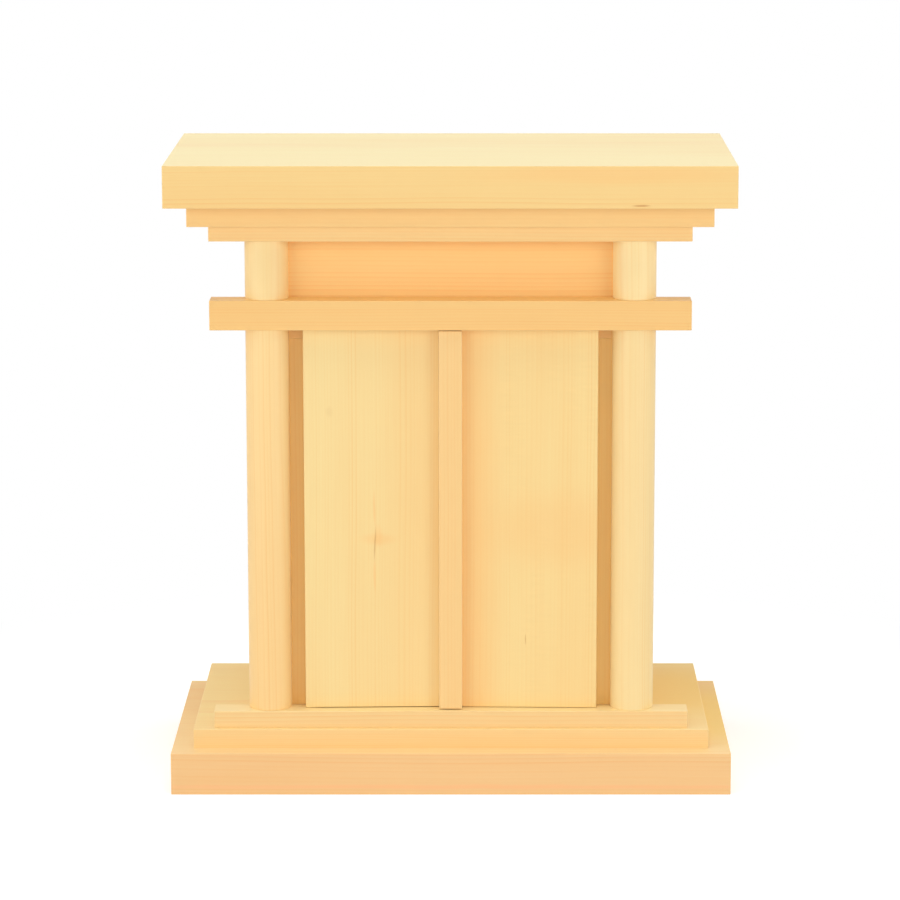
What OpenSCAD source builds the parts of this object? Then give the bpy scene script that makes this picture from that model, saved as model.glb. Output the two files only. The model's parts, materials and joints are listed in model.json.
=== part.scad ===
// Tabletop ancestral shrine in plain pale cypress: a cabinet between two stepped slabs, with round
// columns, a cross beam over the doors, and a pair of plain doors on turned pivots.
// Millimetres. +Z is up, the front faces -Y, and the origin is the middle of the underside.

/* [Slabs] */
// Width of the base slab and the roof slab
slab_w = 390; // [350:1:480]
// Depth of the shrine from front to back
slab_d = 205; // [160:1:300]
// Thickness of the base slab
base_slab_t = 29.5; // [16:0.5:45]
// Thickness of the roof slab
roof_slab_t = 29; // [16:0.5:45]

/* [Steps and rails] */
// Thickness of the base step
base_step_t = 13.5; // [8:0.5:24]
// Thickness of the upper eave board
upper_eave_t = 14.5; // [8:0.5:24]
// Distance from a slab's end to the end of the base step and of the upper eave board
step_end_inset = 15; // [4:0.5:24]
// Distance from a slab's front to the front of the base step and of the upper eave board
step_front_inset = 14.5; // [4:0.5:17]
// Thickness of the sill rail and of the cabinet floor behind it
sill_t = 12; // [10:0.5:24]
// Thickness of the lower eave board
lower_eave_t = 10.5; // [8:0.5:24]
// Distance from a slab's end to the end of the sill, the cross beam and the lower eave board
rail_end_inset = 29.5; // [26:0.5:40]
// Distance from a slab's front to the front of the sill, the cross beam and the lower eave board
rail_front_inset = 19; // [18:0.5:30]
// Depth of the sill rail and of the cross beam
rail_d = 19.5; // [19.5:0.5:30]
// Height of the cross beam
beam_h = 20.5; // [14:0.5:32]

/* [Columns] */
// Diameter of the round columns
column_d = 30; // [24:0.5:36]
// Height of the columns from the sill to the cross beam
lower_column_h = 269.5; // [180:0.5:340]
// Height of the columns from the cross beam to the lower eave board
upper_column_h = 41; // [20:0.5:70]
// Distance from the end of the sill to the side of a column
column_end_inset = 23.8; // [10:0.1:30]
// Distance from the front of the sill to the front of a column
column_setback = 1; // [0:0.5:2]

/* [Cabinet] */
// Thickness of the side walls
side_wall_t = 10; // [5:0.5:14]
// Distance from the outer side of a column back in to the side wall's outer face
side_wall_setback = 0.7; // [0.5:0.1:3]
// Thickness of the back panel
back_panel_t = 6; // [3:0.5:12]
// Thickness of the front stiles beside the doorway
front_stile_t = 10; // [6:0.5:16]
// Thickness of the lintel panel above the doorway
lintel_t = 8; // [4:0.5:14]
// How far the lintel panel hangs below the cross beam, as the stop of the doors
head_lap = 8.5; // [3:0.5:20]
// How far each front stile stands in behind a door, as its stop
side_lap = 8; // [6:0.5:16]

/* [Doors] */
// Thickness of the door leaves and their pivot stiles
door_t = 7.5; // [6:0.5:8]
// Width of a pivot stile
pivot_stile_w = 8; // [6:0.5:14]
// Radius of the front outer corner of a pivot stile, whose back outer corner is round about the pins
stile_corner_r = 0.8; // [0.5:0.1:1.5]
// Width of the cover strip over the meeting of the doors
strip_w = 16; // [8:0.5:30]
// Thickness of the cover strip
strip_t = 8; // [3:0.5:8]
// Distance that the cover strip stands past the edge of the leaf that carries it
strip_lip = 0.5; // [0.3:0.1:2]
// Diameter of the turned pivot pins
pin_d = 4; // [2.5:0.1:5]
// Length of the turned pivot pins
pin_l = 7.5; // [4:0.5:8]

/* [Clearances] */
// Gap between a closed door and the side of a column
column_gap = 9.7; // [8:0.1:14]
// Gap between the frame and the hinge side of a closed door, in front of it
frame_gap = 3; // [2:0.1:4]
// Gap between the frame and the free edge of a closed door, which leans in until it meets its stop
stop_gap = 0.3; // [0.2:0.1:1]
// Gap under the left door leaf, above the sill
left_leaf_gap = 0.6; // [0.3:0.1:3]
// Gap under the right door leaf, above the sill
right_leaf_gap = 0.4; // [0.3:0.1:3]
// Gap under the cover strip, above the sill
strip_bottom_gap = 0.8; // [0.3:0.1:3]
// Gap over the door leaves and the cover strip, under the cross beam
leaf_top_gap = 1; // [0.6:0.1:3]
// Gap at each end of a pivot stile
stile_end_gap = 0.3; // [0.2:0.1:1]
// Gap between the cover strip and the leaf that closes beside it
meeting_gap = 0.4; // [0.4:0.1:2]
// Radial gap between a pin and its bore
pin_gap = 0.08; // [0.04:0.01:0.1]
// Gap between the end of a pin and the bottom of its bore
pin_end_gap = 0.5; // [0.3:0.1:1.5]

/* [Hidden] */
$fn = 96;

// Left is the viewer's left, towards -X
left = -1;
right = 1;

// Levels from the ground up
step_z = base_slab_t;
sill_z = step_z + base_step_t;
floor_top_z = sill_z + sill_t;
beam_z = floor_top_z + lower_column_h;
beam_top_z = beam_z + beam_h;
lower_eave_z = beam_top_z + upper_column_h;
upper_eave_z = lower_eave_z + lower_eave_t;
roof_z = upper_eave_z + upper_eave_t;

// Planes from the front to the back
front_y = -slab_d / 2;
back_y = slab_d / 2;
step_front_y = front_y + step_front_inset;
rail_front_y = front_y + rail_front_inset;
frame_y = rail_front_y + rail_d;
column_y = rail_front_y + column_setback + column_d / 2;
door_front_y = frame_y - frame_gap - door_t;
pivot_y = door_front_y + door_t / 2;

// Widths, and distances from the middle plane
step_w = slab_w - 2 * step_end_inset;
rail_w = slab_w - 2 * rail_end_inset;
column_x = rail_w / 2 - column_end_inset - column_d / 2;
wall_outer_x = column_x + column_d / 2 - side_wall_setback;
wall_inner_x = wall_outer_x - side_wall_t;
door_outer_x = column_x - column_d / 2 - column_gap;
pivot_x = door_outer_x - door_t / 2;
leaf_outer_x = door_outer_x - pivot_stile_w;
doorway_x = door_outer_x - side_lap;

// Where the free edge of each leaf lies, measured from the middle plane towards its own pivots
left_leaf_edge_x = strip_w / 2 + meeting_gap;
right_leaf_edge_x = -strip_w / 2 + strip_lip;

// The angle by which a closed door leans in, from its pivots to the stop behind its free edge
left_lean = asin((frame_gap - stop_gap) / (pivot_x - left_leaf_edge_x));
right_lean = asin((frame_gap - stop_gap) / (pivot_x - right_leaf_edge_x));

// Door heights
left_leaf_z = floor_top_z + left_leaf_gap;
right_leaf_z = floor_top_z + right_leaf_gap;
strip_z = floor_top_z + strip_bottom_gap;
leaf_top_z = beam_z - leaf_top_gap;
stile_z = floor_top_z + stile_end_gap;
stile_h = lower_column_h - 2 * stile_end_gap;

// The bore takes the part of the pin that stands past the gap, and the gap at its bottom
bore_d = pin_d + 2 * pin_gap;
bore_depth = pin_l - stile_end_gap + pin_end_gap;

// Extra length of a cutting body past the face that it opens
cut = 1;

pale_wood = [0.98, 0.85, 0.62];
light_wood = [0.98, 0.87, 0.66];
warm_wood = [0.97, 0.79, 0.52];
shaded_wood = [0.93, 0.72, 0.45];

// A board from its lowest front left corner, by its width, depth and height
module board(x, y, z, w, d, h) {
    translate([x, y, z]) cube([w, d, h]);
}

// A board centred on the middle plane that reaches back to the shrine's flush back
module full_depth_board(w, y, z, h) {
    board(-w / 2, y, z, w, back_y - y, h);
}

// Moves a shape drawn on the right-hand side to the side asked for
module on_side(side) {
    mirror([side == left ? 1 : 0, 0, 0]) children();
}

// A round column cut flat where its back meets the cabinet's frame
module column_length(z, h) {
    difference() {
        translate([column_x, column_y, z]) cylinder(d = column_d, h = h);
        board(column_x - column_d, frame_y, z - cut, 2 * column_d, column_d, h + 2 * cut);
    }
}

// The two upright holes that a pair of pivot pins turns in, opened through the plane at height z
module pivot_bores(z, up) {
    for (side = [left, right])
        translate([side * pivot_x, pivot_y, up ? z - cut : z - bore_depth])
            cylinder(d = bore_d, h = bore_depth + cut);
}

module base_slab() {
    color(pale_wood) full_depth_board(slab_w, front_y, 0, base_slab_t);
}

module base_step() {
    color(pale_wood) full_depth_board(step_w, step_front_y, step_z, base_step_t);
}

module sill_rail() {
    color(pale_wood) difference() {
        board(-rail_w / 2, rail_front_y, sill_z, rail_w, rail_d, sill_t);
        pivot_bores(floor_top_z, up = false);
    }
}

module cabinet_floor() {
    color(light_wood)
        board(-wall_inner_x, frame_y, sill_z, 2 * wall_inner_x, back_y - back_panel_t - frame_y, sill_t);
}

module side_wall(side) {
    color(light_wood) on_side(side)
        board(wall_inner_x, frame_y, sill_z, side_wall_t, back_y - frame_y, lower_eave_z - sill_z);
}

module back_panel() {
    color(light_wood)
        board(-wall_inner_x, back_y - back_panel_t, sill_z, 2 * wall_inner_x, back_panel_t,
            lower_eave_z - sill_z);
}

module front_stile(side) {
    color(shaded_wood) on_side(side)
        board(doorway_x, frame_y, floor_top_z, wall_inner_x - doorway_x, front_stile_t,
            lower_column_h - head_lap);
}

module lower_column(side) {
    color(pale_wood) on_side(side) column_length(floor_top_z, lower_column_h);
}

module cross_beam() {
    color(warm_wood) difference() {
        board(-rail_w / 2, rail_front_y, beam_z, rail_w, rail_d, beam_h);
        pivot_bores(beam_z, up = true);
    }
}

module upper_column(side) {
    color(pale_wood) on_side(side) column_length(beam_top_z, upper_column_h);
}

module lintel_panel() {
    color(warm_wood)
        board(-wall_inner_x, frame_y, beam_z - head_lap, 2 * wall_inner_x, lintel_t,
            lower_eave_z - beam_z + head_lap);
}

module lower_eave_board() {
    color(warm_wood) full_depth_board(rail_w, rail_front_y, lower_eave_z, lower_eave_t);
}

module upper_eave_board() {
    color(warm_wood) full_depth_board(step_w, step_front_y, upper_eave_z, upper_eave_t);
}

module roof_slab() {
    color(pale_wood) full_depth_board(slab_w, front_y, roof_z, roof_slab_t);
}

// Hangs a door drawn flat on the right-hand side: turns it about its pivots until it leans on its stop
module hung(side) {
    on_side(side)
        translate([pivot_x, pivot_y, 0])
            rotate([0, 0, side == left ? -left_lean : -right_lean])
                translate([-pivot_x, -pivot_y, 0])
                    children();
}

// The hinge side of a door: nearly square in front, and round behind about the pins, which are turned on its
// ends, so that it clears the frame as the door swings
module pivot_stile(side) {
    corner_x = door_outer_x - stile_corner_r;
    corner_y = door_front_y + stile_corner_r;
    color(light_wood) hung(side) union() {
        board(leaf_outer_x, door_front_y, stile_z, pivot_x - leaf_outer_x, door_t, stile_h);
        board(pivot_x, door_front_y, stile_z, corner_x - pivot_x, door_t / 2, stile_h);
        board(corner_x, corner_y, stile_z, stile_corner_r, pivot_y - corner_y, stile_h);
        translate([corner_x, corner_y, stile_z]) cylinder(r = stile_corner_r, h = stile_h);
        intersection() {
            translate([pivot_x, pivot_y, stile_z]) cylinder(d = door_t, h = stile_h);
            board(pivot_x, pivot_y, stile_z - cut, door_t, door_t, stile_h + 2 * cut);
        }
        translate([pivot_x, pivot_y, stile_z - pin_l]) cylinder(d = pin_d, h = stile_h + 2 * pin_l);
    }
}

// This leaf stops short of the cover strip, so it opens and shuts by itself
module left_door_leaf() {
    color(light_wood) hung(left)
        board(left_leaf_edge_x, door_front_y, left_leaf_z, leaf_outer_x - left_leaf_edge_x, door_t,
            leaf_top_z - left_leaf_z);
}

// This leaf reaches across the middle and carries the cover strip
module right_door_leaf() {
    color(light_wood) hung(right)
        board(right_leaf_edge_x, door_front_y, right_leaf_z, leaf_outer_x - right_leaf_edge_x, door_t,
            leaf_top_z - right_leaf_z);
}

module door_cover_strip() {
    color(pale_wood) hung(right)
        board(-strip_w / 2, door_front_y - strip_t, strip_z, strip_w, strip_t, leaf_top_z - strip_z);
}

base_slab();
base_step();
sill_rail();
cabinet_floor();
side_wall(left);  // left_side_wall
side_wall(right);  // right_side_wall
back_panel();
front_stile(left);  // left_front_stile
front_stile(right);  // right_front_stile
lower_column(left);  // left_lower_column
lower_column(right);  // right_lower_column
cross_beam();
upper_column(left);  // left_upper_column
upper_column(right);  // right_upper_column
lintel_panel();
lower_eave_board();
upper_eave_board();
roof_slab();
pivot_stile(left);  // left_pivot_stile
pivot_stile(right);  // right_pivot_stile
left_door_leaf();
right_door_leaf();
door_cover_strip();
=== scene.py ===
"""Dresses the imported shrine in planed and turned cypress, piece by piece, under soft studio light.

Every board, column and door is modelled anew at the place that the frame gives it, with crisp arrises,
and gets a solid cypress grain of its own: growth rings, fibre, end grain and worn edges.
"""

import json
import logging
import math
from collections.abc import Callable, Sequence
from dataclasses import dataclass, field, replace
from enum import Enum

import bmesh
import bpy
from mathutils import Matrix, Vector


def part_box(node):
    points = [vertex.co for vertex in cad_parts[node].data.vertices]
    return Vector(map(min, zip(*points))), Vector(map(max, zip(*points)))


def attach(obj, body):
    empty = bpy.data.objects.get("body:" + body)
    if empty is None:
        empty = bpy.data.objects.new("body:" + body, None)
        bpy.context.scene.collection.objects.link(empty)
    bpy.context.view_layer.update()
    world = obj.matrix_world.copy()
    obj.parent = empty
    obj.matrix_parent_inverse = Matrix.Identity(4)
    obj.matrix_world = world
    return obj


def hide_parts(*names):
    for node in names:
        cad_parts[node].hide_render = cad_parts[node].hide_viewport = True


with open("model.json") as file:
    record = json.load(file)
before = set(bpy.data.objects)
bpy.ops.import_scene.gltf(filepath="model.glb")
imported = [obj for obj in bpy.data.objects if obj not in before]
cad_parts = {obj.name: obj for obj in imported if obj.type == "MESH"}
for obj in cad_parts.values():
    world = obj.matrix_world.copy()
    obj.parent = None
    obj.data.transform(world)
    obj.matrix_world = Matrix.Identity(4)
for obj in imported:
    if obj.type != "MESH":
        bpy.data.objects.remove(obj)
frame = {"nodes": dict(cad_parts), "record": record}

LOG = logging.getLogger("shrine")
ARRIS = "arris"
SQUARE = 0.999
MM = 0.001
HAIR = 0.01 * MM

# Late wood's share of the pale wood's red, green and blue, and how far wear brings them to white
LATE_WOOD = (0.95, 0.7, 0.5)
BURNISHED = (0.3, 0.2, 0.12)

Corner = tuple[Vector, Vector]
Rgb = tuple[int, int, int]
Socket = bpy.types.NodeSocket


class Grain(Enum):
    """Which way the fibres of a piece run, and the two axes across them."""

    SIDEWAYS = (0, 1, 2)
    UPRIGHT = (2, 0, 1)


def linear(colour: Rgb) -> tuple[float, float, float, float]:
    """Turns a colour as seen on a screen into scene-linear values.

    Args:
        colour: Red, green and blue from 0 to 255.

    Returns:
        Linear red, green, blue and an alpha of 1.
    """
    shares = [channel / 255 for channel in colour]
    values = [s / 12.92 if s <= 0.04045 else ((s + 0.055) / 1.055) ** 2.4 for s in shares]
    return (*values, 1.0)


@dataclass
class NodeBench:
    """Lays out and links the nodes of one material."""

    tree: bpy.types.NodeTree
    count: int = 0

    def add(self, kind: str, **settings: object) -> bpy.types.Node:
        """Adds a node.

        Args:
            kind: The node's type name.
            settings: Properties to set on it.

        Returns:
            The new node.
        """
        node = self.tree.nodes.new(kind)
        node.location = (180 * (self.count % 12), -220 * (self.count // 12))
        self.count += 1
        for name, value in settings.items():
            setattr(node, name, value)
        return node

    def feed(self, socket: Socket, value: object) -> None:
        """Links a socket into an input, or sets the input to a plain value."""
        if isinstance(value, bpy.types.NodeSocket):
            self.tree.links.new(value, socket)
        else:
            socket.default_value = value

    def maths(self, operation: str, *values: object, clamp: bool = False) -> Socket:
        """Works out one sum on sockets and numbers.

        Args:
            operation: The name of the Math node's operation.
            values: Its inputs in order.
            clamp: Keeps the result from 0 to 1.

        Returns:
            The result's socket.
        """
        node = self.add("ShaderNodeMath", operation=operation, use_clamp=clamp)
        for socket, value in zip(node.inputs, values):
            self.feed(socket, value)
        return node.outputs[0]

    def combine(self, x: object, y: object, z: object) -> Socket:
        """Joins three values into a vector."""
        node = self.add("ShaderNodeCombineXYZ")
        for socket, value in zip(node.inputs, (x, y, z)):
            self.feed(socket, value)
        return node.outputs[0]

    def stretched(self, parts: Sequence[Socket], scales: Sequence[float], seed: float) -> Socket:
        """Scales three coordinates apart, and shifts them to a part of the noise of their own."""
        return self.combine(*(self.maths("MULTIPLY_ADD", p, s, seed) for p, s in zip(parts, scales)))

    def noise(self, vector: Socket, detail: float = 2.0, roughness: float = 0.5) -> Socket:
        """Adds smooth noise.

        Args:
            vector: Where it is read, in units of its own blobs.
            detail: How many finer layers it has.
            roughness: How strong the finer layers are.

        Returns:
            A value from 0 to 1, mostly near 0.5.
        """
        node = self.add("ShaderNodeTexNoise")
        self.feed(node.inputs["Vector"], vector)
        node.inputs["Scale"].default_value = 1.0
        node.inputs["Detail"].default_value = detail
        node.inputs["Roughness"].default_value = roughness
        return node.outputs[0]

    def wandered(self, vector: Socket, scales: Sequence[float], reach: float) -> Socket:
        """Moves a place about by smooth noise.

        Args:
            vector: The place.
            scales: How many blobs of the noise lie on a metre along X, Y and Z.
            reach: How far the place may move, in metres.

        Returns:
            The moved place.
        """
        scaled = self.add("ShaderNodeVectorMath", operation="MULTIPLY")
        self.feed(scaled.inputs[0], vector)
        scaled.inputs[1].default_value = scales
        node = self.add("ShaderNodeTexNoise")
        self.feed(node.inputs["Vector"], scaled.outputs[0])
        node.inputs["Scale"].default_value = 1.0
        node.inputs["Detail"].default_value = 3.0
        centred = self.add("ShaderNodeVectorMath", operation="SUBTRACT")
        self.feed(centred.inputs[0], node.outputs["Color"])
        centred.inputs[1].default_value = (0.5, 0.5, 0.5)
        moved = self.add("ShaderNodeVectorMath", operation="MULTIPLY_ADD")
        self.feed(moved.inputs[0], centred.outputs[0])
        moved.inputs[1].default_value = (2 * reach, 2 * reach, 2 * reach)
        self.feed(moved.inputs[2], vector)
        return moved.outputs[0]

    def span(self, value: object, low: float, high: float, out_low: object, out_high: object) -> Socket:
        """Maps a value smoothly from one span to another, without running past its ends."""
        node = self.add("ShaderNodeMapRange", interpolation_type="SMOOTHSTEP")
        for socket, given in zip(node.inputs, (value, low, high, out_low, out_high)):
            self.feed(socket, given)
        return node.outputs[0]

    def layer(self, share: object, first: Socket, second: Socket) -> Socket:
        """Mixes two shaders by a share from 0 to 1."""
        node = self.add("ShaderNodeMixShader")
        for socket, value in zip(node.inputs, (share, first, second)):
            self.feed(socket, value)
        return node.outputs[0]

    def background(self, colour: tuple[float, ...], strength: float) -> Socket:
        """Adds a plain background light."""
        node = self.add("ShaderNodeBackground")
        node.inputs["Color"].default_value = colour
        node.inputs["Strength"].default_value = strength
        return node.outputs[0]

    def glow(self, strength: float) -> Socket:
        """Adds plain white light from a surface."""
        node = self.add("ShaderNodeEmission")
        node.inputs["Strength"].default_value = strength
        return node.outputs[0]

    def blend(self, share: object, first: object, second: object) -> Socket:
        """Mixes two colours by a share from 0 to 1."""
        node = self.add("ShaderNodeMix", data_type="RGBA")
        self.feed(node.inputs[0], share)
        self.feed(node.inputs[6], first)
        self.feed(node.inputs[7], second)
        return node.outputs[2]


@dataclass(frozen=True)
class Mark:
    """A small mark in the wood, such as a pitch streak or a pin knot, or a patch of painted shade.

    Attributes:
        centre: Its place in the frame, in millimetres.
        reach: Half its size along X, Y and Z, in millimetres.
        colour: Its colour on a screen.
        strength: How far it covers the wood's own colour.
    """

    centre: tuple[float, float, float]
    reach: tuple[float, float, float]
    colour: Rgb = (176, 120, 70)
    strength: float = 0.8

    def cover(self, bench: NodeBench, place: Socket) -> Socket:
        """Works out how much of the mark shows at a place.

        Args:
            bench: The material's bench.
            place: Object coordinates.

        Returns:
            A share from 0 to the mark's strength.
        """
        away = bench.add("ShaderNodeVectorMath", operation="SUBTRACT")
        bench.feed(away.inputs[0], place)
        away.inputs[1].default_value = [c * MM for c in self.centre]
        scaled = bench.add("ShaderNodeVectorMath", operation="DIVIDE")
        bench.feed(scaled.inputs[0], away.outputs[0])
        scaled.inputs[1].default_value = [r * MM for r in self.reach]
        length = bench.add("ShaderNodeVectorMath", operation="LENGTH")
        bench.feed(length.inputs[0], scaled.outputs[0])
        return bench.span(length.outputs["Value"], 1.0, 0.25, 0.0, self.strength)


@dataclass(frozen=True)
class WoodFacts:
    """What the patterns of one finish say about a point on the wood.

    Attributes:
        parts: Coordinates along the grain and the two across it.
        rings: The late wood's share.
        fibre: The fine streaks, from 0 to 1.
        ends: 1 on end grain, 0 along the fibres.
        worn: 1 on an eased edge.
    """

    parts: Sequence[Socket]
    rings: Socket
    fibre: Socket
    ends: Socket
    worn: Socket


@dataclass(frozen=True)
class Cypress:
    """The finish of one piece of bare planed cypress.

    Attributes:
        pale: Colour of the wood between the growth rings, as on a screen.
        grain: Which way the fibres run.
        heart: Where the tree's middle lay, in millimetres across the grain from the middle of the piece.
        ring_gap: Distance between growth rings in millimetres.
        contrast: How strongly the late wood of the rings shows, from 0 to 1.
        tone: How strongly the colour drifts towards the late wood's in soft bands, from 0 to 1.
        streak: How strongly the single fibres show.
        ripple: How strongly the cross figure of quarter-sawn wood shows.
        painted_top_light: Colour of the face that looks up, painted paler where light from above falls on it, or None
            where it is like the rest.
        satin: Roughness of the planed faces.
        sheen: How strongly the planed faces mirror, 0.5 being the full sheen of dense wood.
        relief: How strongly fibres and rings stand out.
        seed: Picks a part of the noise of its own.
        marks: Natural marks, and patches of painted shade.
    """

    pale: Rgb
    grain: Grain
    heart: tuple[float, float] = (60.0, -140.0)
    ring_gap: float = 1.7
    contrast: float = 0.42
    tone: float = 0.26
    streak: float = 0.24
    ripple: float = 0.0
    painted_top_light: Rgb | None = None
    satin: float = 0.3
    sheen: float = 0.4
    relief: float = 0.08
    seed: float = 0.0
    marks: tuple[Mark, ...] = ()

    def late(self, pale: Rgb) -> tuple[float, ...]:
        """Gives the darker, redder colour of the late wood beside a pale wood."""
        return (*(share * part for share, part in zip(LATE_WOOD, linear(pale))), 1.0)

    def toned(self, factors: tuple[float, float, float]) -> tuple[float, ...]:
        """Gives the pale colour with each channel brought towards white by a factor."""
        return (*(part + (1 - part) * factor for factor, part in zip(factors, linear(self.pale))), 1.0)

    def rings(self, bench: NodeBench, parts: Sequence[Socket], middle: Vector) -> tuple[Socket, Socket]:
        """Works out the growth rings as shells round the tree's middle.

        Args:
            bench: The material's bench.
            parts: Coordinates along the grain and the two across it.
            middle: The piece's middle in the frame.

        Returns:
            The late wood's share, and the distance from the tree's middle.
        """
        _, first, second = self.grain.value
        side = bench.maths("SUBTRACT", parts[1], middle[first] + self.heart[0] * MM)
        rise = bench.maths("SUBTRACT", parts[2], middle[second] + self.heart[1] * MM)
        square = bench.maths("ADD", bench.maths("MULTIPLY", side, side), bench.maths("MULTIPLY", rise, rise))
        wander = bench.noise(bench.stretched(parts, (2.4, 7.0, 7.0), self.seed), detail=2.0)
        radius = bench.maths("MULTIPLY_ADD", wander, 9 * MM, bench.maths("SQRT", square))
        uneven = bench.noise(bench.stretched((radius, radius, radius), (55.0, 31.0, 17.0), self.seed), detail=1.0)
        turns = bench.maths("MULTIPLY_ADD", radius, 1 / (self.ring_gap * MM), bench.maths("MULTIPLY", uneven, 4.0))
        season = bench.add("ShaderNodeTexWhiteNoise", noise_dimensions="1D")
        bench.feed(season.inputs["W"], bench.maths("FLOOR", bench.maths("ADD", turns, self.seed)))
        build_up = bench.maths("POWER", bench.maths("FRACT", bench.maths("ADD", turns, self.seed)), 3.5)
        end = bench.span(bench.maths("FRACT", bench.maths("ADD", turns, self.seed)), 0.9, 1.0, 1.0, 0.0)
        late = bench.maths("MULTIPLY", build_up, end)
        return bench.maths("MULTIPLY", late, bench.span(season.outputs["Value"], 0, 1, 0.35, 1.6)), radius

    def colour(self, bench: NodeBench, source: bpy.types.Node, facts: WoodFacts) -> Socket:
        """Builds the colour of the wood from its rings, bands, fibres, ends and marks, with painted light on upward
        faces where the finish sets it and painted shade in some marks.

        Args:
            bench: The material's bench.
            source: The texture coordinates.
            facts: What the other patterns have given.

        Returns:
            The colour's socket.
        """
        pale, late = linear(self.pale), self.late(self.pale)
        # Painted light: faces that look up get a paler colour, which stands in for the light that falls on them from
        # above
        if self.painted_top_light:
            split = bench.add("ShaderNodeSeparateXYZ")
            bench.feed(split.inputs[0], source.outputs["Normal"])
            painted_light_share = bench.span(split.outputs[2], 0.7, 0.98, 0.0, 1.0)
            pale = bench.blend(painted_light_share, pale, linear(self.painted_top_light))
            late = bench.blend(painted_light_share, late, self.late(self.painted_top_light))
        bands = bench.noise(bench.stretched(facts.parts, (1.3, 11.0, 11.0), self.seed + 7), detail=3.0)
        share = bench.maths("MULTIPLY", bench.span(bands, 0.36, 0.64, 0.0, 1.0), self.tone)
        strength = bench.span(facts.ends, 0.0, 1.0, self.contrast, min(1.0, 2.2 * self.contrast))
        share = bench.maths("MULTIPLY_ADD", facts.rings, strength, share)
        fibres = bench.maths("SUBTRACT", facts.fibre, 0.4)
        share = bench.maths("MULTIPLY_ADD", fibres, self.streak, share, clamp=True)
        wood = bench.blend(share, pale, late)
        pores = bench.noise(bench.stretched(facts.parts, (900.0, 900.0, 900.0), self.seed + 11), detail=2.0)
        value = bench.maths("MULTIPLY_ADD", facts.ends, bench.maths("MULTIPLY_ADD", pores, 0.16, -0.2), 1.0)
        if self.ripple:
            value = bench.maths("MULTIPLY_ADD", self.cross_figure(bench, facts.parts), self.ripple, value)
        shade = bench.add("ShaderNodeHueSaturation")
        bench.feed(shade.inputs["Color"], wood)
        bench.feed(shade.inputs["Value"], value)
        wood = shade.outputs[0]
        # Natural marks, and patches of painted shade
        if self.marks:
            scales = [30.0 if axis == self.grain.value[0] else 120.0 for axis in range(3)]
            place = bench.wandered(source.outputs["Object"], scales, 1.5 * MM)
            for mark in self.marks:
                wood = bench.blend(mark.cover(bench, place), wood, linear(mark.colour))
        rub = bench.maths("MULTIPLY", facts.worn, bench.span(facts.fibre, 0.3, 0.7, 0.2, 0.6))
        return bench.blend(rub, wood, self.toned(BURNISHED))

    def material(self, name: str, middle: Vector) -> bpy.types.Material:
        """Builds the finish as a node material.

        Args:
            name: The material's name.
            middle: The piece's middle in the frame.

        Returns:
            The material.
        """
        material = bpy.data.materials.new(name)
        material.use_nodes = True
        bench = NodeBench(material.node_tree)
        shader = material.node_tree.nodes["Principled BSDF"]
        source = bench.add("ShaderNodeTexCoord")
        split = bench.add("ShaderNodeSeparateXYZ")
        bench.feed(split.inputs[0], source.outputs["Object"])
        parts = [split.outputs[axis] for axis in self.grain.value]

        late, radius = self.rings(bench, parts, middle)
        strength = bench.noise(bench.stretched((radius, parts[0], radius), (70.0, 1.3, 23.0), self.seed), detail=1.0)
        facts = WoodFacts(
            parts=parts,
            rings=bench.maths("MULTIPLY", late, bench.span(strength, 0.3, 0.75, 0.3, 1.0)),
            fibre=bench.noise(bench.stretched(parts, (16.0, 620.0, 620.0), self.seed + 3), 3.0, 0.6),
            ends=self.end_grain(bench, source),
            worn=bench.add("ShaderNodeAttribute", attribute_name=ARRIS).outputs["Fac"],
        )
        bench.feed(shader.inputs["Base Color"], self.colour(bench, source, facts))

        base = bench.maths("MULTIPLY_ADD", facts.rings, -0.06, self.satin)
        dull = bench.maths("MULTIPLY_ADD", facts.fibre, 0.14, base)
        dull = bench.maths("MULTIPLY_ADD", facts.ends, 0.3, dull)
        bench.feed(shader.inputs["Roughness"], bench.maths("MULTIPLY_ADD", facts.worn, -0.06, dull, clamp=True))
        shader.inputs["IOR"].default_value = 1.5
        shader.inputs["Specular IOR Level"].default_value = self.sheen

        hairs = bench.noise(bench.stretched(parts, (40.0, 2400.0, 2400.0), self.seed + 5), 2.0, 0.7)
        height = bench.maths("MULTIPLY_ADD", facts.rings, 0.5, bench.maths("MULTIPLY_ADD", facts.fibre, 0.8, hairs))
        bump = bench.add("ShaderNodeBump")
        bump.inputs["Strength"].default_value = self.relief
        bump.inputs["Distance"].default_value = 0.12 * MM
        bench.feed(bump.inputs["Height"], height)
        bench.feed(shader.inputs["Normal"], bump.outputs[0])
        return material

    def end_grain(self, bench: NodeBench, source: bpy.types.Node) -> Socket:
        """Works out where the saw cut across the fibres: 1 on a board's ends and 0 along it."""
        split = bench.add("ShaderNodeSeparateXYZ")
        bench.feed(split.inputs[0], source.outputs["Normal"])
        along = bench.maths("ABSOLUTE", split.outputs[self.grain.value[0]])
        return bench.span(along, 0.75, 0.97, 0.0, 1.0)

    def cross_figure(self, bench: NodeBench, parts: Sequence[Socket]) -> Socket:
        """Draws the short ripples that lie across the fibres, in loose columns."""
        ripples = bench.noise(bench.stretched(parts, (420.0, 60.0, 60.0), self.seed + 13), detail=1.0)
        columns = bench.noise(bench.stretched(parts, (9.0, 55.0, 55.0), self.seed + 17), detail=1.0)
        held = bench.span(columns, 0.42, 0.62, 0.0, 1.0)
        return bench.maths("MULTIPLY", held, bench.maths("SUBTRACT", ripples, 0.5))


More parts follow.
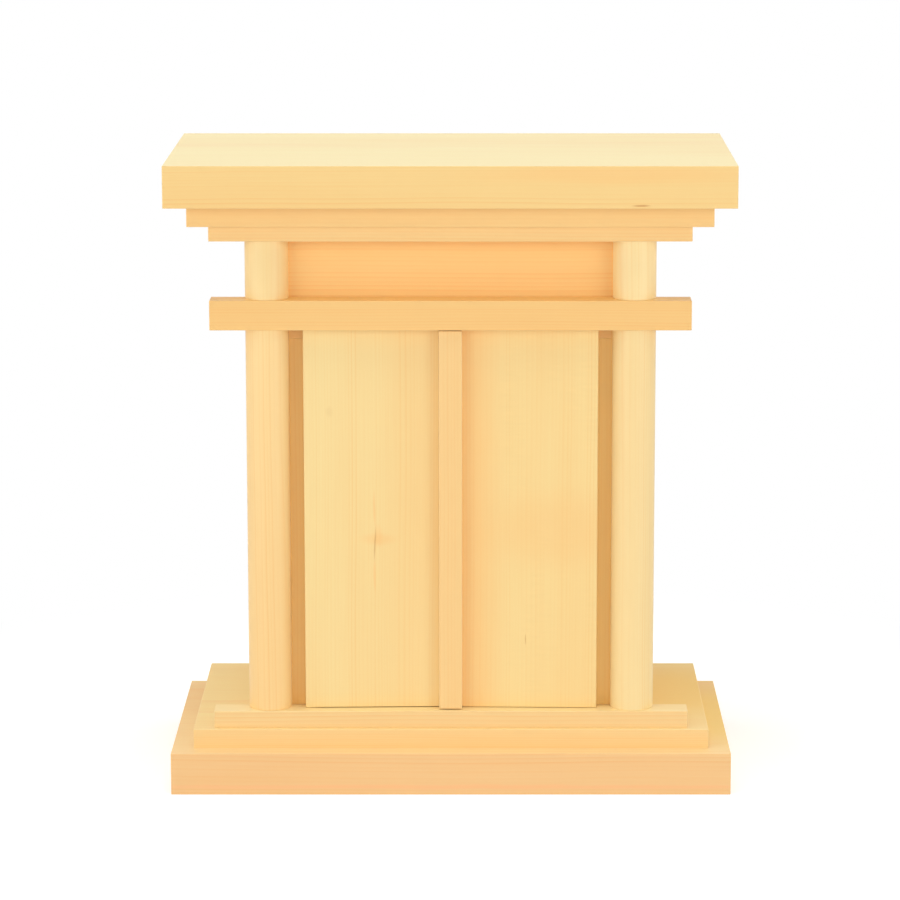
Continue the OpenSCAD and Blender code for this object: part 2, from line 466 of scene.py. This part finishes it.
class Bench:
    """The maker's bench: models a piece with one operation after another."""

    @staticmethod
    def clear() -> None:
        """Deselects everything."""
        bpy.ops.object.select_all(action="DESELECT")

    @staticmethod
    def take(piece: bpy.types.Object) -> None:
        """Makes a piece the only selected one."""
        Bench.clear()
        piece.select_set(True)
        bpy.context.view_layer.objects.active = piece

    @staticmethod
    def settle(piece: bpy.types.Object) -> None:
        """Moves a piece's place, turn and size into its mesh."""
        Bench.take(piece)
        bpy.ops.object.transform_apply(location=True, rotation=True, scale=True)

    @staticmethod
    def board(name: str, low: Vector, high: Vector) -> bpy.types.Object:
        """Saws a board to its box.

        Args:
            name: The piece's name.
            low: Its lowest corner.
            high: Its highest corner.

        Returns:
            The board, with its edges still sharp.
        """
        Bench.clear()
        bpy.ops.mesh.primitive_cube_add(size=1, location=(low + high) / 2, scale=high - low)
        piece = bpy.context.object
        piece.name = name
        Bench.settle(piece)
        return piece

    @staticmethod
    def rod(name: str, foot: Vector, diameter: float, length: float, sides: int) -> bpy.types.Object:
        """Turns an upright rod.

        Args:
            name: The piece's name.
            foot: The middle of its lower end.
            diameter: Its diameter.
            length: Its length.
            sides: How many faces its round side has.

        Returns:
            The rod.
        """
        Bench.clear()
        middle = foot + Vector((0, 0, length / 2))
        bpy.ops.mesh.primitive_cylinder_add(vertices=sides, radius=diameter / 2, depth=length, location=middle)
        piece = bpy.context.object
        piece.name = name
        Bench.settle(piece)
        return piece

    @staticmethod
    def ease(piece: bpy.types.Object, width: float, steps: int, chosen: Callable[[bmesh.types.BMEdge], bool]) -> None:
        """Takes the sharpness off the chosen edges.

        Args:
            piece: The piece to work on.
            width: How far back the plane cuts.
            steps: How many facets it leaves.
            chosen: Tells whether an edge is eased.
        """
        Bench.take(piece)
        bpy.ops.object.mode_set(mode="EDIT")
        bpy.ops.mesh.select_mode(type="EDGE")
        bpy.ops.mesh.select_all(action="DESELECT")
        shape = bmesh.from_edit_mesh(piece.data)
        for edge in shape.edges:
            edge.select_set(chosen(edge))
        bmesh.update_edit_mesh(piece.data)
        bpy.ops.mesh.bevel(offset=width, segments=steps, profile=0.5, affect="EDGES", clamp_overlap=True)
        bpy.ops.object.mode_set(mode="OBJECT")

    @staticmethod
    def slice_back(piece: bpy.types.Object, plane_y: float) -> None:
        """Saws off what lies behind a plane, and closes the cut."""
        Bench.take(piece)
        bpy.ops.object.mode_set(mode="EDIT")
        bpy.ops.mesh.select_all(action="SELECT")
        bpy.ops.mesh.bisect(plane_co=(0, plane_y, 0), plane_no=(0, 1, 0), use_fill=True, clear_outer=True)
        bpy.ops.object.mode_set(mode="OBJECT")

    @staticmethod
    def turn(piece: bpy.types.Object, pivot: Vector, angle: float) -> None:
        """Turns a piece about an upright line.

        Args:
            piece: The piece to turn.
            pivot: A point on the line.
            angle: How far, counter-clockwise from above, in radians.
        """
        Bench.take(piece)
        bpy.ops.object.mode_set(mode="EDIT")
        bpy.ops.mesh.select_all(action="SELECT")
        bpy.ops.transform.rotate(value=-angle, orient_axis="Z", center_override=pivot)
        bpy.ops.object.mode_set(mode="OBJECT")

    @staticmethod
    def carve(piece: bpy.types.Object, tool: bpy.types.Object, operation: str) -> None:
        """Cuts a tool's shape out of a piece or joins it on, and puts the tool away."""
        Bench.take(piece)
        modifier = piece.modifiers.new("carve", "BOOLEAN")
        modifier.operation = operation
        modifier.solver = "EXACT"
        modifier.object = tool
        bpy.ops.object.modifier_apply(modifier=modifier.name)
        bpy.data.objects.remove(tool)

    @staticmethod
    def smooth(piece: bpy.types.Object, degrees: float) -> None:
        """Smooths a turned side, and leaves sharper corners as they are."""
        Bench.take(piece)
        bpy.ops.object.shade_smooth_by_angle(angle=math.radians(degrees))

    @staticmethod
    def tag_arrises(piece: bpy.types.Object, is_arris: Callable[[Vector], bool]) -> None:
        """Records which faces are eased edges, for the wear in the finish.

        Args:
            piece: The finished piece.
            is_arris: Tells it from a face's normal.
        """
        worn = piece.data.attributes.new(ARRIS, "FLOAT", "CORNER")
        for face in piece.data.polygons:
            level = 1.0 if is_arris(face.normal) else 0.0
            for loop in face.loop_indices:
                worn.data[loop].value = level


def all_edges(edge: bmesh.types.BMEdge) -> bool:
    """Chooses every edge."""
    return True


def level(edge: bmesh.types.BMEdge) -> bool:
    """Chooses the edges that lie level."""
    return abs(edge.verts[0].co.z - edge.verts[1].co.z) < HAIR


def upright(edge: bmesh.types.BMEdge) -> bool:
    """Chooses the edges that stand upright."""
    return (edge.verts[0].co.xy - edge.verts[1].co.xy).length < HAIR


def off_seam(seam: float) -> Callable[[bmesh.types.BMEdge], bool]:
    """Makes a test that leaves out the edges of the face at a glued seam.

    Args:
        seam: Where the seam is along X.

    Returns:
        The test.
    """
    return lambda edge: any(abs(vertex.co.x - seam) > HAIR for vertex in edge.verts)


def slanted(normal: Vector) -> bool:
    """Tells whether a board's face is none of its six sides."""
    return max(abs(part) for part in normal) < SQUARE


def slanted_round(normal: Vector) -> bool:
    """Tells whether a face of an upright round piece is neither its side nor its end."""
    return 0.1 < abs(normal.z) < SQUARE


@dataclass
class Assembly:
    """A sub-assembly of the shrine, with what all of them need.

    Attributes:
        record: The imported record.
        arris: How far the boards' edges are eased.
        facets: How many facets an eased edge has.
        made: The finished pieces by the name of the node that each replaces.
    """

    record: dict
    arris: float = 0.35 * MM
    facets: int = 2
    made: dict[str, bpy.types.Object] = field(default_factory=dict)

    def body_of(self, node: str) -> str:
        """Finds the body that a node belongs to."""
        return next(body for body, nodes in self.record["behaviour"]["bodies"].items() if node in nodes)

    def hand_in(self, piece: bpy.types.Object, node: str) -> None:
        """Gives a piece its wood, and puts it in the place of its node.

        Args:
            piece: The modelled piece.
            node: The node that it stands for.
        """
        board = SAME_BOARD.get(node, node)
        low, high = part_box(board)
        piece.data.materials.clear()
        piece.data.materials.append(FINISHES[board].material(f"{node}_cypress", (low + high) / 2))
        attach(piece, self.body_of(node))
        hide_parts(node)
        self.made[node] = piece

    def planed(self, node: str) -> bpy.types.Object:
        """Saws a board to its node's box and eases its edges.

        Args:
            node: The node.

        Returns:
            The board.
        """
        piece = Bench.board(f"{node}_board", *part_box(node))
        Bench.ease(piece, self.arris, self.facets, all_edges)
        Bench.tag_arrises(piece, slanted)
        return piece

    def twin(self, piece: bpy.types.Object, name: str, node: str, other: str) -> bpy.types.Object:
        """Copies a finished left-hand piece to the right-hand node's place.

        Args:
            piece: The left-hand piece.
            name: The copy's name.
            node: The node that the piece stands for.
            other: The node that the copy stands for.

        Returns:
            The copy, with a mesh of its own.
        """
        Bench.take(piece)
        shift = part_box(other)[0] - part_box(node)[0]
        bpy.ops.object.duplicate_move(TRANSFORM_OT_translate={"value": shift})
        copy = bpy.context.object
        copy.name = name
        copy.data.name = name
        Bench.settle(copy)
        return copy

    def report(self) -> None:
        """Logs each piece of the sub-assembly."""
        for node, piece in self.made.items():
            LOG.info("%s: %s, %d faces", type(self).__name__, piece.name, len(piece.data.polygons))


@dataclass
class Pivots:
    """The doors' wooden pins and the bores that they turn in.

    Attributes:
        pin: The pins' diameter.
        length: How far a pin stands out of its stile.
        play: The gap all round a pin in its bore.
        depth: How deep the bores are.
        sides: How many faces a pin has.
    """

    pin: float = 4.0 * MM
    length: float = 7.5 * MM
    play: float = 0.08 * MM
    depth: float = 7.7 * MM
    sides: int = 48

    def bore(self, piece: bpy.types.Object, joints: Sequence[dict], mouth: float) -> None:
        """Drills a blind bore for each door.

        Args:
            piece: The rail or beam.
            joints: The doors' joints.
            mouth: The height of the face that the bores open in.
        """
        for joint in joints:
            foot = Vector((*joint["pos_m"][:2], mouth - self.depth))
            drill = Bench.rod("drill", foot, self.pin + 2 * self.play, 2 * self.depth, self.sides)
            Bench.carve(piece, drill, "DIFFERENCE")

    def turned_pins(self, pivot: Vector, low: float, high: float) -> bpy.types.Object:
        """Turns one rod whose two ends are a stile's pins, with chamfered tips.

        Args:
            pivot: A point on the door's upright turning line.
            low: The height of the lower tip.
            high: The height of the upper tip.

        Returns:
            The rod.
        """
        rod = Bench.rod("pins", Vector((pivot.x, pivot.y, low)), self.pin, high - low, self.sides)
        Bench.ease(rod, 0.4 * MM, 1, level)
        return rod


@dataclass
class Stand(Assembly):
    """The base slab, the base step and the sill rail that the doors stand on."""

    pivots: Pivots = field(default_factory=Pivots)

    def build(self) -> None:
        """Makes the three boards."""
        for node in ("base_slab", "base_step"):
            self.hand_in(self.planed(node), node)
        rail = self.planed("sill_rail")
        self.pivots.bore(rail, self.record["behaviour"]["joints"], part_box("sill_rail")[1].z)
        self.hand_in(rail, "sill_rail")


@dataclass
class Cabinet(Assembly):
    """The closed box behind the doors: its floor, walls, back, front stiles and lintel panel."""

    def build(self) -> None:
        """Makes the boards of the box."""
        for node in ("cabinet_floor", "back_panel", "lintel_panel"):
            self.hand_in(self.planed(node), node)
        for kind in ("side_wall", "front_stile"):
            left, right = f"left_{kind}", f"right_{kind}"
            board = self.planed(left)
            copy = self.twin(board, f"{right}_board", left, right)
            self.hand_in(board, left)
            self.hand_in(copy, right)


@dataclass
class Colonnade(Assembly):
    """The round columns, a lower and an upper length a side, with flat backs against the cabinet."""

    sides: int = 144
    end_ease: float = 0.2 * MM

    def build(self) -> None:
        """Turns the two lengths of column and copies them to the other side."""
        for length in ("lower", "upper"):
            left, right = f"left_{length}_column", f"right_{length}_column"
            column = self.turned(left)
            copy = self.twin(column, f"{right}_turned", left, right)
            self.hand_in(column, left)
            self.hand_in(copy, right)

    def turned(self, node: str) -> bpy.types.Object:
        """Turns one length of column, and saws its back flat.

        Args:
            node: The column's node.

        Returns:
            The column.
        """
        low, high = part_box(node)
        diameter = high.x - low.x
        foot = Vector(((low.x + high.x) / 2, low.y + diameter / 2, low.z))
        piece = Bench.rod(f"{node}_turned", foot, diameter, high.z - low.z, self.sides)
        Bench.slice_back(piece, high.y)
        Bench.ease(piece, self.end_ease, 1, level)
        Bench.tag_arrises(piece, slanted_round)
        Bench.smooth(piece, 12)
        return piece


@dataclass
class Head(Assembly):
    """The cross beam, the two stepped eave boards and the roof slab."""

    pivots: Pivots = field(default_factory=Pivots)

    def build(self) -> None:
        """Makes the beam and the boards above it."""
        beam = self.planed("cross_beam")
        self.pivots.bore(beam, self.record["behaviour"]["joints"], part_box("cross_beam")[0].z)
        self.hand_in(beam, "cross_beam")
        for node in ("lower_eave_board", "upper_eave_board", "roof_slab"):
            self.hand_in(self.planed(node), node)


@dataclass
class Door(Assembly):
    """One door: its leaf, its pivot stile and, where it has one, the cover strip.

    Attributes:
        side: Which side the door hangs on.
        strip: The node of the strip over the doors' meeting, or None.
        pivots: The pins.
        leaf_arris: How far the leaf's edges are eased.
        front_round: Radius of the stile's front outer corner.
        front_steps: How many facets that corner has.
        back_flat: How much of the stile's thickness the round back corner leaves beside the front half.
        back_steps: How many facets the round back corner has.
    """

    side: str = "left"
    strip: str | None = None
    pivots: Pivots = field(default_factory=Pivots)
    leaf_arris: float = 0.25 * MM
    front_round: float = 0.8 * MM
    front_steps: int = 4
    back_flat: float = 0.05 * MM
    back_steps: int = 12

    def build(self) -> None:
        """Makes the door's pieces flat on the frame, and leans them in as the door hangs."""
        joint = next(j for j in self.record["behaviour"]["joints"] if j["child"] == f"{self.side}_door")
        pivot = Vector(joint["pos_m"])
        leaf_node, stile_node = f"{self.side}_door_leaf", f"{self.side}_pivot_stile"
        lean = self.lean(leaf_node)
        leaf_low, leaf_high = self.flat_box(leaf_node, pivot, lean)
        seam = leaf_low.x if self.side == "left" else leaf_high.x
        pieces = {
            leaf_node: self.leaf(leaf_node, leaf_low, leaf_high, seam),
            stile_node: self.stile(stile_node, *self.flat_box(stile_node, pivot, lean), pivot, seam),
        }
        if self.strip:
            board = Bench.board(f"{self.strip}_board", *self.flat_box(self.strip, pivot, lean))
            Bench.ease(board, self.arris, self.facets, all_edges)
            Bench.tag_arrises(board, slanted)
            pieces[self.strip] = board
        for node, piece in pieces.items():
            Bench.turn(piece, pivot, lean)
            self.hand_in(piece, node)

    @staticmethod
    def lean(node: str) -> float:
        """Reads from a leaf's plan how far the closed door leans in, in radians from above."""
        corners = sorted({vertex.co.xy.to_tuple(6) for vertex in frame["nodes"][node].data.vertices})
        left, right = (min(pair, key=lambda c: c[1]) for pair in (corners[:2], corners[-2:]))
        return math.atan2(right[1] - left[1], right[0] - left[0])

    @staticmethod
    def flat_box(node: str, pivot: Vector, lean: float) -> Corner:
        """Finds the box of a node with the lean taken out.

        Args:
            node: The node.
            pivot: A point on the door's turning line.
            lean: The lean in radians.

        Returns:
            The lowest and the highest corner.
        """
        back = Matrix.Rotation(-lean, 3, "Z")
        points = [back @ (vertex.co - pivot) + pivot for vertex in frame["nodes"][node].data.vertices]
        low = Vector([min(p[axis] for p in points) for axis in range(3)])
        high = Vector([max(p[axis] for p in points) for axis in range(3)])
        return low, high

    def leaf(self, node: str, low: Vector, high: Vector, seam: float) -> bpy.types.Object:
        """Makes the leaf's board, sharp only where it is glued to its stile.

        Args:
            node: The leaf's node.
            low: Its lowest corner.
            high: Its highest corner.
            seam: Where along X its stile begins.

        Returns:
            The leaf.
        """
        piece = Bench.board(f"{node}_board", low, high)
        Bench.ease(piece, self.leaf_arris, self.facets, off_seam(seam))
        Bench.tag_arrises(piece, slanted)
        return piece

    def stile(self, node: str, low: Vector, high: Vector, pivot: Vector, seam: float) -> bpy.types.Object:
        """Makes the hinge side's stile, crisp in front and round behind, with its pins.

        Args:
            node: The stile's node.
            low: The lowest corner with its pins.
            high: The highest corner with its pins.
            pivot: A point on the turning line.
            seam: Where along X the leaf begins.

        Returns:
            The stile.
        """
        inset = Vector((0, 0, self.pivots.length))
        piece = Bench.board(f"{node}_turned", low + inset, high - inset)
        free = off_seam(seam)
        back_round = (high.y - low.y) / 2 - self.back_flat
        Bench.ease(piece, self.front_round, self.front_steps, lambda e: upright(e) and free(e) and e.verts[0].co.y < pivot.y)
        Bench.ease(piece, back_round, self.back_steps, lambda e: upright(e) and free(e) and e.verts[0].co.y > high.y - HAIR)
        Bench.ease(piece, self.leaf_arris, 1, lambda e: level(e) and free(e))
        Bench.carve(piece, self.pivots.turned_pins(pivot, low.z, high.z), "UNION")
        Bench.tag_arrises(piece, slanted_round)
        Bench.smooth(piece, 12)
        return piece


@dataclass(frozen=True)
class Softbox:
    """A square soft lamp that faces the middle of the shrine.

    Attributes:
        name: The lamp's name.
        turn: Where it hangs round the shrine in degrees, 0 in front of it and 90 to its right.
        rise: How high it hangs in degrees above the middle.
        watts: Its power.
        reach: Its distance from the middle.
        size: The length of its sides.
    """

    name: str
    turn: float
    rise: float
    watts: float
    reach: float = 3.0
    size: float = 1.6

    def hang(self, middle: Vector) -> None:
        """Hangs the lamp round a point."""
        turn, rise = math.radians(self.turn), math.radians(self.rise)
        away = Vector((math.sin(turn) * math.cos(rise), -math.cos(turn) * math.cos(rise), math.sin(rise)))
        Bench.clear()
        facing = (-away).to_track_quat("-Z", "Y").to_euler()
        bpy.ops.object.light_add(type="AREA", location=middle + away * self.reach, rotation=facing)
        lamp = bpy.context.object
        lamp.name = self.name
        lamp.data.shape = "SQUARE"
        lamp.data.size = self.size
        lamp.data.energy = self.watts


@dataclass
class Studio:
    """The camera, the soft lights and the pale floor.

    Attributes:
        station: Where the camera stands.
        dip: How far it looks down, in degrees.
        lens: Its focal length in millimetres.
        shift: How far its picture is shifted sideways, in picture widths.
        middle: The point that the lamps face.
        lamps: The soft lamps.
        ambient: How brightly the surroundings light the object.
        backdrop: How brightly the surroundings show in the wood's sheen.
        warmth: The colour of the surroundings' light.
    """

    station: tuple[float, float, float] = (0.0157, -2.6909, 0.7438)
    dip: float = 10.914
    lens: float = 153.9
    shift: float = -0.026
    middle: tuple[float, float, float] = (0.0, 0.0, 0.22)
    lamps: tuple[Softbox, ...] = (
        Softbox("left_softbox", -80, 10, 14),
        Softbox("left_high_softbox", -70, 50, 6),
        Softbox("left_front_softbox", -45, 8, 21),
        Softbox("front_softbox", 0, 12, 10, reach=3.4),
        Softbox("right_front_softbox", 45, 8, 24),
        Softbox("right_softbox", 80, 10, 10),
        Softbox("overhead_softbox", 0, 80, 34),
        Softbox("left_rear_softbox", -130, 15, 10),
        Softbox("right_rear_softbox", 130, 15, 10),
        Softbox("rear_softbox", 150, 50, 6),
    )
    ambient: float = 0.35
    backdrop: float = 1.0
    warmth: Rgb = (255, 252, 247)

    def build(self) -> None:
        """Sets up the whole studio."""
        self.camera()
        self.surroundings()
        for lamp in self.lamps:
            lamp.hang(Vector(self.middle))
        self.floor()
        bpy.context.scene.view_settings.view_transform = "Standard"

    def camera(self) -> None:
        """Places the camera as the photograph was taken."""
        Bench.clear()
        tilt = math.radians(90 - self.dip)
        bpy.ops.object.camera_add(location=self.station, rotation=(tilt, 0, 0))
        camera = bpy.context.object
        camera.name = "studio_camera"
        camera.data.lens = self.lens
        camera.data.sensor_width = 36
        camera.data.shift_x = self.shift
        bpy.context.scene.camera = camera

    def surroundings(self) -> None:
        """Makes a white background that lights the object softly."""
        world = bpy.data.worlds.new("white_studio")
        world.use_nodes = True
        bpy.context.scene.world = world
        bench = NodeBench(world.node_tree)
        world.node_tree.nodes.clear()
        ray = bench.add("ShaderNodeLightPath").outputs
        mirrored = bench.maths("MAXIMUM", ray["Is Glossy Ray"], ray["Is Transmission Ray"])
        light = bench.background(linear(self.warmth), self.ambient)
        sheen = bench.background((1, 1, 1, 1), self.backdrop)
        white = bench.background((1, 1, 1, 1), 1.0)
        shown = bench.layer(ray["Is Camera Ray"], bench.layer(mirrored, light, sheen), white)
        bench.feed(bench.add("ShaderNodeOutputWorld").inputs["Surface"], shown)

    def floor(self) -> None:
        """Lays a pale floor that shows white all round, and keeps the shrine's soft shadow close by."""
        Bench.clear()
        bpy.ops.mesh.primitive_circle_add(vertices=96, radius=6, fill_type="NGON", location=(0, 0, 0))
        plane = bpy.context.object
        plane.name = "pale_floor"
        material = bpy.data.materials.new("pale_floor_paint")
        material.use_nodes = True
        bench = NodeBench(material.node_tree)
        material.node_tree.nodes.clear()
        paint = bench.add("ShaderNodeBsdfDiffuse")
        paint.inputs["Color"].default_value = (0.8, 0.8, 0.8, 1)
        lift = bench.glow(0.42)
        near = bench.add("ShaderNodeAddShader")
        bench.feed(near.inputs[0], paint.outputs[0])
        bench.feed(near.inputs[1], lift)
        away = bench.add("ShaderNodeVectorMath", operation="LENGTH")
        bench.feed(away.inputs[0], bench.add("ShaderNodeTexCoord").outputs["Object"])
        far = bench.span(away.outputs["Value"], 0.3, 0.55, 0.0, 1.0)
        seen = bench.layer(far, near.outputs[0], bench.glow(1.0))
        camera = bench.add("ShaderNodeLightPath").outputs["Is Camera Ray"]
        shown = bench.layer(camera, paint.outputs[0], seen)
        bench.feed(bench.add("ShaderNodeOutputMaterial").inputs["Surface"], shown)
        plane.data.materials.append(material)


BOARD = Cypress(pale=(246, 208, 142), grain=Grain.SIDEWAYS)
PLANK = Cypress(
    pale=(247, 215, 150), grain=Grain.UPRIGHT, heart=(-230.0, 60.0), ring_gap=2.3, contrast=0.32, tone=0.26, streak=0.2
)

# Reddish late wood, the pitch in a streak or a pin knot, and the warm stain round it
REDDISH = (248, 190, 136)
PITCH = (206, 148, 84)
STAIN = (247, 190, 118)
# The leaves' own warmer tone beside the cover strip, with painted shade and warm bounce light where the strip keeps
# light off them
STRIP_SHADE_AND_WARMTH = (250, 196, 124)
# Painted shade on the right of the base's upper faces, where the cabinet keeps off the light from the left
RIGHT_SIDE_SHADE = (251, 218, 136)

# Pieces that are sawn from one board, so that the grain runs through the seam
SAME_BOARD = {"left_pivot_stile": "left_door_leaf", "right_pivot_stile": "right_door_leaf"}

# Where a finish gives its upward faces a colour of their own, that paler colour is painted light from above
FINISHES: dict[str, Cypress] = {
    "base_slab": replace(
        BOARD, pale=(242, 200, 143), painted_top_light=(251, 221, 164), seed=2.1, satin=0.45, sheen=0.2,
        marks=(
            Mark((0.0, -102.5, 5.5), (420.0, 6.0, 2.6), REDDISH, 0.6),
            # Painted shade on the right of the slab's upper face
            Mark((186.0, 5.0, 29.5), (60.0, 118.0, 20.0), RIGHT_SIDE_SHADE, 1.0),
        ),
    ),
    "base_step": replace(
        BOARD, pale=(245, 214, 153), painted_top_light=(252, 230, 168), seed=5.3, heart=(-30.0, 190.0), satin=0.45, sheen=0.2,
        # Painted shade on the right of the step's upper face
        marks=(Mark((165.0, 20.0, 43.0), (60.0, 105.0, 20.0), RIGHT_SIDE_SHADE, 1.0),),
    ),
    "sill_rail": replace(
        BOARD, pale=(243, 210, 150), painted_top_light=(251, 231, 172), seed=8.7, heart=(90.0, -60.0), satin=0.4, sheen=0.25
    ),
    "cabinet_floor": replace(BOARD, seed=11.9),
    "back_panel": replace(PLANK, seed=14.2),
    "lintel_panel": replace(BOARD, pale=(254, 208, 133), seed=17.5, contrast=0.5, ring_gap=2.8, tone=0.34),
    "left_side_wall": replace(PLANK, seed=20.4, heart=(120.0, -260.0)),
    "right_side_wall": replace(PLANK, seed=23.8, heart=(-120.0, -260.0)),
    "left_front_stile": replace(PLANK, pale=(255, 213, 133), seed=26.3),
    "right_front_stile": replace(PLANK, pale=(255, 217, 135), seed=29.6),
    "left_lower_column": replace(PLANK, pale=(249, 217, 154), seed=32.2, heart=(-160.0, 90.0)),
    "right_lower_column": replace(PLANK, pale=(247, 224, 165), seed=35.1, heart=(140.0, 80.0)),
    "left_upper_column": replace(PLANK, pale=(249, 223, 162), seed=38.9, heart=(-160.0, 90.0)),
    "right_upper_column": replace(PLANK, pale=(251, 228, 169), seed=41.7, heart=(140.0, 80.0)),
    "cross_beam": replace(BOARD, pale=(245, 201, 129), painted_top_light=(253, 218, 145), seed=44.5),
    "lower_eave_board": replace(BOARD, pale=(246, 209, 143), seed=47.2),
    "upper_eave_board": replace(BOARD, pale=(244, 204, 136), seed=50.8),
    "roof_slab": replace(
        BOARD, pale=(242, 207, 138), painted_top_light=(248, 230, 165), seed=53.4,
        marks=(
            Mark((110.0, -102.5, 434.0), (130.0, 6.0, 9.0), STAIN, 0.3),
            Mark((129.6, -102.5, 412.9), (8.5, 2.0, 0.9), PITCH, 0.9),
        ),
    ),
    "left_door_leaf": replace(
        PLANK, pale=(246, 221, 157), seed=56.6,
        marks=(
            # Painted shade and bounce light beside the cover strip, over the leaf's own warmer tone
            Mark((-4.0, -74.0, 190.0), (48.0, 6.0, 500.0), STRIP_SHADE_AND_WARMTH, 0.2),
            Mark((-84.0, -73.5, 266.0), (4.0, 4.0, 5.0), (236, 204, 140), 0.4),
            Mark((-50.0, -73.5, 176.0), (18.0, 4.0, 6.0), STAIN, 0.3),
            Mark((-51.0, -73.5, 178.0), (4.5, 4.0, 11.0), STAIN, 0.3),
            Mark((-53.2, -73.5, 197.0), (1.2, 4.0, 17.0), STAIN, 0.4),
            Mark((-53.0, -73.5, 150.0), (1.2, 4.0, 17.0), STAIN, 0.4),
            Mark((-53.0, -73.5, 172.5), (0.75, 4.0, 16.0), PITCH, 0.6),
        ),
    ),
    "right_door_leaf": replace(
        PLANK, pale=(246, 218, 152), seed=62.3, heart=(250.0, 70.0), ripple=0.045,
        marks=(
            # Painted shade and bounce light beside the cover strip, over the leaf's own warmer tone
            Mark((4.0, -74.0, 190.0), (38.0, 6.0, 500.0), STRIP_SHADE_AND_WARMTH, 0.55),
            Mark((75.0, -73.5, 183.0), (70.0, 10.0, 38.0), STAIN, 0.25),
            Mark((52.3, -73.0, 104.0), (0.6, 4.0, 5.5), PITCH, 0.55),
        ),
    ),
    "door_cover_strip": replace(PLANK, pale=(246, 212, 148), seed=68.1),
}


def main() -> None:
    """Builds the shrine piece by piece, then the studio round it."""
    logging.basicConfig(level=logging.INFO, format="%(name)s %(message)s")
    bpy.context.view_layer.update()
    record = frame["record"]
    assemblies = (
        Stand(record), Cabinet(record), Colonnade(record), Head(record),
        Door(record, side="left"), Door(record, side="right", strip="door_cover_strip"),
    )
    for assembly in assemblies:
        assembly.build()
        assembly.report()
    Studio().build()


if __name__ == "__main__":
    main()
